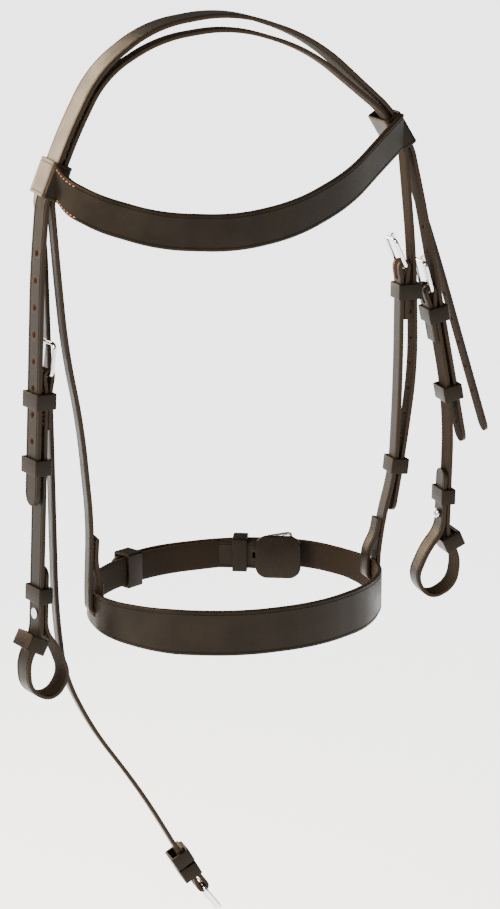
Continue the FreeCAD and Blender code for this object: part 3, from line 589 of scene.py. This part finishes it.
# Throatlatch: a narrow strap that hangs from the crown's off end and ends in a small buckle.
# On the near side the crown ends in a short punched billet that the buckle would take.
throat_base = pivot("throatlatch_buckle_turn")
throat_y = throat_base.y
throat_route = [
    (-128.5, -142), (-127, -250), (-126, -400), (-121, -452), (-101, -495), (-64, -550),
]
throat_along = Vector((0.494, 0, -0.87))
throat_out = Vector((-0.87, 0, -0.494))
throat_fold = placed(throat_base, throat_out, throat_along, fold(strap_thickness)[::-1])
above_throat = Vector((above_off_hinge[0], throat_y, above_off_hinge[1]))
throat_hinge = pivot("throatlatch_swing")
throat, throat_frames = strap(
    "throatlatch_leather", [above_throat, throat_hinge] + flat(throat_route, throat_y) + throat_fold,
    12.0, strap_thickness, (0, -1, 0), crease=narrow_crease,
)
punched(throat, [tongue_slot(throat_base, throat_out, throat_along, (0, 1, 0))])
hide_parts("throatlatch_strap")
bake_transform(throat)
near_route = [(162, -163), (184, -232), (207, -304)]
above_near_throat = Vector((above_near_hinge[0], throat_y, above_near_hinge[1]))
near_throat_hinge = pivot("near_throatlatch_billet_swing")
near_throat, near_throat_frames = strap(
    "near_throatlatch_billet_leather",
    [above_near_throat, near_throat_hinge] + flat(near_route, throat_y),
    11.6, 2.8, (0, 1, 0), tips=(0, 7), crease=narrow_crease,
)
throat_heights = [-198 - hole_pitch * number for number in range(5)]
punched(near_throat, holes_at_heights(near_throat_frames, throat_heights))
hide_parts("near_throatlatch_billet")
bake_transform(near_throat)

# Noseband: a cavesson of thicker leather, broad in front and narrow behind.
# Its near end is folded round the buckle, and its off end is the punched billet over it.
nose_base = pivot("noseband_tongue_lift")
nose_height = nose_base.z
nose_plan = [
    (-66.5, 65.2), (-26.3, 84.6), (33.3, 84.6), (84.8, 59.8), (109, 15.3), (109, -31.3), (80.7, -71.7),
    (31.8, -95), (-24.8, -95), (-73.7, -71.7), (-102, -31.3), (-102, 15.3), (-73.7, 55.7), (-24.8, 79),
    (31.8, 79),
]
nose_out = Vector((0.43, 0.903, 0))
nose_along = Vector((0.903, -0.43, 0))


def nose_width(point):
    """The noseband is broad over the nose and narrows evenly to the straps under the jaw."""
    front_width = 32.0
    rear_width = 21.0
    front_y = -74.0
    rear_y = 25.0
    share = min(1.0, max(0.0, (point.y - front_y) / (rear_y - front_y)))
    return front_width + (rear_width - front_width) * share


nose_fold = placed(nose_base, nose_out, nose_along, fold(band_thickness)[::-1])
nose_route = [(x, y, nose_height) for x, y in nose_plan]
noseband, nose_frames = strap(
    "noseband_leather", nose_route + nose_fold, nose_width, band_thickness, (0, 0, -1),
    tips=(8, 0), crease=2.4,
)
plain_axes = (Vector((1, 0, 0)), Vector((0, 1, 0)), Vector(up))
hanging_slots = [
    (Vector((wall, sliphead_y, nose_height - 1)), plain_axes, (18, 13.9, 5.8), False)
    for wall in (-102, 109)
]
billet_slot = (
    nose_base + nose_out * 7.35 + nose_along * 8.15,
    (nose_out, nose_along, Vector(up)), (6, 12.7, 4), False,
)
punched(noseband, hanging_slots + [tongue_slot(nose_base, nose_out, nose_along, up), billet_slot])
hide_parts("noseband_strap")
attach(noseband, "noseband")

# Keepers and the safe pad: short leather bands round the straps, and a soft pad behind the buckle.
# They are cut from the same hide, with rubbed round edges.
keeper_leather = leather(
    "keeper_leather",
    dark=(0.0064, 0.0051, 0.0040), light=(0.0104, 0.0080, 0.0060),
    edge=(0.018, 0.011, 0.008), flesh=(0.020, 0.012, 0.008),
)
pad_leather = leather(
    "pad_leather",
    dark=(0.0070, 0.0055, 0.0043), light=(0.0112, 0.0086, 0.0065),
    edge=(0.020, 0.012, 0.008), flesh=(0.020, 0.012, 0.008),
)


def softened(node, body, material, radius):
    """A copy of a CAD leather piece with rubbed, rounded edges."""
    name = f"{node}_leather"
    shape = bmesh.new()
    shape.from_mesh(frame["nodes"][node].data)
    bmesh.ops.remove_doubles(shape, verts=shape.verts, dist=1e-6)
    bmesh.ops.dissolve_limit(shape, angle_limit=0.03, verts=shape.verts, edges=shape.edges)
    sharp = [edge for edge in shape.edges if edge.is_manifold and edge.calc_face_angle(0) > 0.5]
    bmesh.ops.bevel(
        shape, geom=sharp, offset=radius / 1000.0, segments=3, profile=0.5,
        affect="EDGES", clamp_overlap=True,
    )
    layer = shape.verts.layers.float.new("grain")
    for vertex in shape.verts:
        vertex[layer] = 1.0
    mesh = bpy.data.meshes.new(name)
    shape.to_mesh(mesh)
    shape.free()
    mesh.materials.clear()
    mesh.materials.append(material)
    piece = finished(mesh, name)
    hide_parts(node)
    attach(piece, body)
    return piece


keeper_bodies = {
    "near_hanger_fixed_keeper": "headpiece",
    "near_hanger_sliding_keeper": "near_hanger_sliding_keeper",
    "off_cheek_fixed_keeper": "off_cheek",
    "off_cheek_sliding_keeper": "off_cheek_sliding_keeper",
    "off_bit_upper_keeper": "off_cheek",
    "off_bit_lower_keeper": "off_cheek",
    "near_cheek_fixed_keeper": "near_cheek",
    "near_cheek_sliding_keeper": "near_cheek_sliding_keeper",
    "near_bit_upper_keeper": "near_cheek",
    "near_bit_lower_keeper": "near_cheek",
    "throatlatch_fixed_keeper": "throatlatch",
    "throatlatch_sliding_keeper": "throatlatch_sliding_keeper",
    "noseband_fixed_keeper": "noseband",
    "noseband_sliding_keeper": "noseband_sliding_keeper",
}
for node, body in keeper_bodies.items():
    softened(node, body, keeper_leather, radius=0.6)
softened("noseband_safe_pad", "noseband", pad_leather, radius=0.9)

# Metalwork: wire buckles, their tongues, the two hook studs and the browband's domed button.
# All are polished chrome on steel, with faint smudges from handling.


def chrome(name, colour, low, high):
    """Polished metal whose roughness wanders between low and high."""
    material = bpy.data.materials.new(name)
    material.use_nodes = True
    tree = material.node_tree
    shader = tree.nodes["Principled BSDF"]
    place = tree.nodes.new("ShaderNodeTexCoord").outputs["Object"]
    smudge = noise(tree, place, 140.0)
    tree.links.new(span(tree, smudge, 0.35, 0.7, low, high), shader.inputs["Roughness"])
    tint = tuple(channel * 0.86 for channel in colour)
    tree.links.new(mixed(tree, smudge, colour, tint), shader.inputs["Base Color"])
    shader.inputs["Metallic"].default_value = 1.0
    return material


buckle_steel = chrome("buckle_steel", (0.70, 0.70, 0.71), 0.10, 0.22)
metals = {
    "buckle_frame": buckle_steel,
    "buckle_tongue": buckle_steel,
    "hook_stud": chrome("stud_steel", (0.66, 0.66, 0.67), 0.14, 0.28),
    "button": chrome("button_steel", (0.62, 0.61, 0.60), 0.16, 0.30),
}
for name, node in frame["nodes"].items():
    for ending, metal in metals.items():
        if name.endswith(ending):
            node.data.materials.clear()
            node.data.materials.append(metal)
            node.data.polygons.foreach_set("use_smooth", [True] * len(node.data.polygons))

# Stitching: each fold and loop is sewn in two rows beside its edges.
# The thread is dark brown, apart from two short rows of orange-tan on the browband's off end.


def thread(name, colour):
    """Waxed thread, with bands of painted shade where the grooves between its strands would be."""
    material = bpy.data.materials.new(name)
    material.use_nodes = True
    tree = material.node_tree
    shader = tree.nodes["Principled BSDF"]
    place = tree.nodes.new("ShaderNodeTexCoord").outputs["Object"]
    # Bands across the thread are painted shade of the grooves between its strands, not a colour of the
    # thread.
    groove_shade = tree.nodes.new("ShaderNodeTexWave")
    groove_shade.inputs["Scale"].default_value = 900.0
    tree.links.new(place, groove_shade.inputs["Vector"])
    groove_shade_colour = tuple(channel * 0.55 for channel in colour)
    tree.links.new(mixed(tree, groove_shade.outputs["Fac"], colour, groove_shade_colour), shader.inputs["Base Color"])
    shader.inputs["Roughness"].default_value = 0.7
    return material


def beads(name, rows, body, material, pitch=3.3, long=2.3, thick=0.75):
    """Stitches along rows; a row is (strap frames, first, last, across, outward side)."""
    shape = bmesh.new()
    for frames, first, last, offset, face in rows:
        distance = first
        for a, b in zip(frames, frames[1:]):
            while a[0] <= distance < b[0] and distance <= last:
                share = (distance - a[0]) / (b[0] - a[0])
                side = a[3]
                outward = a[4] * face
                inset = a[5] / 2 - offset if offset > 0 else -a[5] / 2 - offset
                point = a[1].lerp(b[1], share) + side * inset + outward * (a[6] / 2 + 0.02)
                slanted = (a[2] + side * 0.16).normalized()
                wide = outward.cross(slanted)
                axes = [slanted * long, wide * thick, outward * thick]
                matrix = Matrix(axes).transposed() * 0.001
                place = Matrix.Translation(millimetres(point)) @ matrix.to_4x4()
                bmesh.ops.create_uvsphere(shape, u_segments=8, v_segments=6, radius=0.5, matrix=place)
                distance += pitch
    mesh = bpy.data.meshes.new(name)
    shape.to_mesh(mesh)
    shape.free()
    mesh.materials.append(material)
    piece = finished(mesh, name, angle=3.0)
    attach(piece, body)
    return piece


def both_edges(frames, first, last, inset, face=1):
    """Two rows, one beside each edge of a strap."""
    return [(frames, first, last, inset, face), (frames, first, last, -inset, face)]


dark_thread = thread("dark_thread", (0.060, 0.040, 0.028))
tan_thread = thread("tan_thread", (0.42, 0.17, 0.055))
round_the_bar = 44.0
wide_inset = 2.2
narrow_inset = 1.9
for side_name, frames in cheek_frames.items():
    rows = both_edges(frames, round_the_bar + 14, round_the_bar + 38, wide_inset)
    beads(f"{side_name}_cheek_stitching", rows, f"{side_name}_cheek", dark_thread)
nose_end = nose_frames[-1][0] - round_the_bar
beads(
    "noseband_stitching", both_edges(nose_frames, nose_end - 42, nose_end - 18, wide_inset),
    "noseband", dark_thread,
)
hanger_rows = both_edges(hanger_frames, 4, 28, narrow_inset, -1)
sliphead_rows = both_edges(sliphead_frames, 2, 24, narrow_inset, -1)
beads("hanger_stitching", hanger_rows + sliphead_rows, "headpiece", dark_thread)
throat_end = throat_frames[-1][0] - round_the_bar
beads(
    "throatlatch_stitching", both_edges(throat_frames, throat_end - 40, throat_end - 14, narrow_inset),
    "throatlatch", dark_thread,
)
beads(
    "browband_stitching", both_edges(band_frames, 2.5, 20, wide_inset),
    "browband", tan_thread, pitch=2.9, long=2.2, thick=0.9,
)

# Setting: a pale floor far below, two warm soft lights on the off side and a faint cool fill.
# The camera stands to the off side of the front, a little above the poll.


def aimed(place, target):
    """The rotation that points a lamp or a camera at the target."""
    return (Vector(target) - Vector(place)).to_track_quat("-Z", "Y").to_euler()


def area_light(name, place, size, energy, colour):
    """A square soft light aimed at the middle of the headstall."""
    light = bpy.data.lights.new(name, "AREA")
    light.shape = "SQUARE"
    light.size = size
    light.energy = energy
    light.color = colour
    lamp = bpy.data.objects.new(name, light)
    lamp.location = place
    lamp.rotation_euler = aimed(place, (0.0, 0.0, -0.25))
    bpy.context.scene.collection.objects.link(lamp)


floor_mesh = bpy.data.meshes.new("floor")
reach = 40.0
depth = -1.2
floor_mesh.from_pydata(
    [(-reach, -reach, depth), (reach, -reach, depth), (reach, reach, depth), (-reach, reach, depth)],
    [], [(0, 1, 2, 3)],
)
floor = bpy.data.objects.new("floor", floor_mesh)
bpy.context.scene.collection.objects.link(floor)
floor_paint = bpy.data.materials.new("floor_paint")
floor_paint.use_nodes = True
paint = floor_paint.node_tree.nodes["Principled BSDF"]
paint.inputs["Base Color"].default_value = (0.90, 0.90, 0.90, 1.0)
paint.inputs["Roughness"].default_value = 0.9
paint.inputs["Emission Color"].default_value = (1.0, 1.0, 1.0, 1.0)
paint.inputs["Emission Strength"].default_value = 3.2
floor_mesh.materials.append(floor_paint)

world = bpy.data.worlds.new("studio")
world.use_nodes = True
world.node_tree.nodes["Background"].inputs["Color"].default_value = (1.0, 1.0, 1.0, 1.0)
world.node_tree.nodes["Background"].inputs["Strength"].default_value = 0.2
bpy.context.scene.world = world
area_light("key", (-1.7, -0.35, 0.5), 0.8, 95.0, (1.0, 0.80, 0.58))
area_light("fill", (1.3, -1.5, 0.3), 1.2, 6.0, (0.95, 0.97, 1.0))
area_light("rim", (-0.65, 1.5, 0.2), 1.1, 48.0, (1.0, 0.78, 0.54))

camera_data = bpy.data.cameras.new("camera")
camera_data.sensor_fit = "VERTICAL"
camera_data.sensor_height = 36.0
camera_data.lens = 100.4
camera = bpy.data.objects.new("camera", camera_data)
camera.location = (-0.604, -1.619, 0.179)
camera.rotation_euler = aimed(camera.location, (0.018, 0.0, -0.302))
bpy.context.scene.collection.objects.link(camera)
bpy.context.scene.camera = camera
